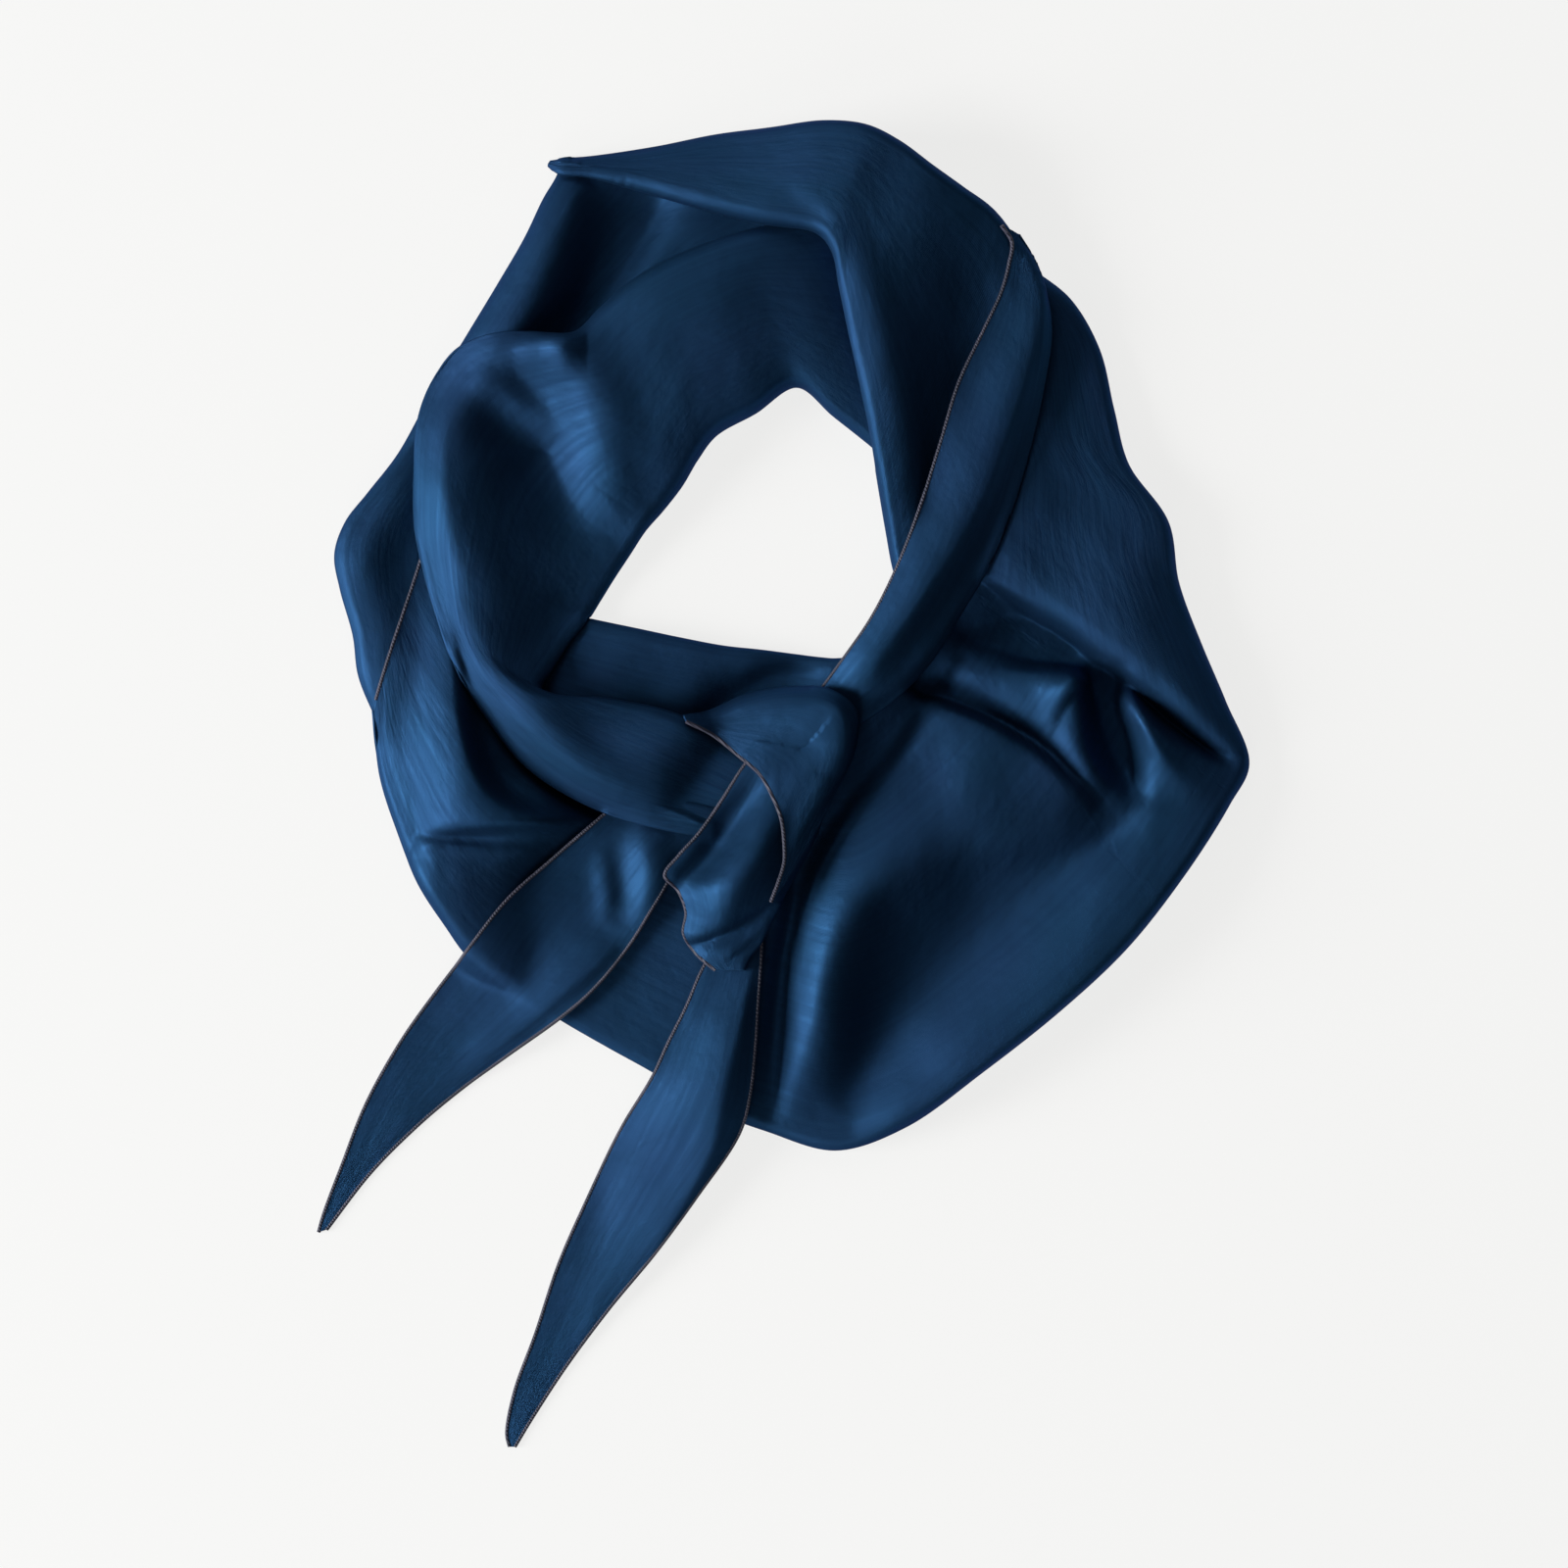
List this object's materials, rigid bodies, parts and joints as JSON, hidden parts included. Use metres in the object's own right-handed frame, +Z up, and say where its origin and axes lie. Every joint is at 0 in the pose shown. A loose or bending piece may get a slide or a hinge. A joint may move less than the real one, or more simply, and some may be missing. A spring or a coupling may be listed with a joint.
{
  "type": "knotted neck scarf",
  "caption": "Silk satin square folded on its diagonal to a band, tied in a knot over its wide front panel and laid flat, with a neck opening and free pointed ends.",
  "frame": {"origin": "on the table plane, under the middle of the scarf's outline as it lies", "axes": "+Z up from the table; +Y from the knot to the back of the neck opening; +X to the right seen from above"},
  "size_m": [0.3572, 0.5042, 0.0317],
  "materials": {
    "silk_satin": "navy satin, soft sheen",
    "rolled_hem": "rolled edge, greyed mauve thread"
  },
  "bodies": {
    "root": {"neck_band_outer": "silk_satin", "front_panel": "silk_satin", "hem_front_panel": "rolled_hem", "tail_left": "silk_satin", "hem_tail_left_outer": "rolled_hem", "hem_tail_left_inner": "rolled_hem", "neck_band_left": "silk_satin", "neck_band_back": "silk_satin", "neck_band_right": "silk_satin", "hem_neck_band": "rolled_hem", "tail_right": "silk_satin", "hem_tail_right_outer": "rolled_hem", "hem_tail_right_inner": "rolled_hem", "knot_core": "silk_satin", "hem_knot_core": "rolled_hem", "knot_wrap": "silk_satin", "hem_knot_wrap": "rolled_hem"}
  },
  "joints": []
}
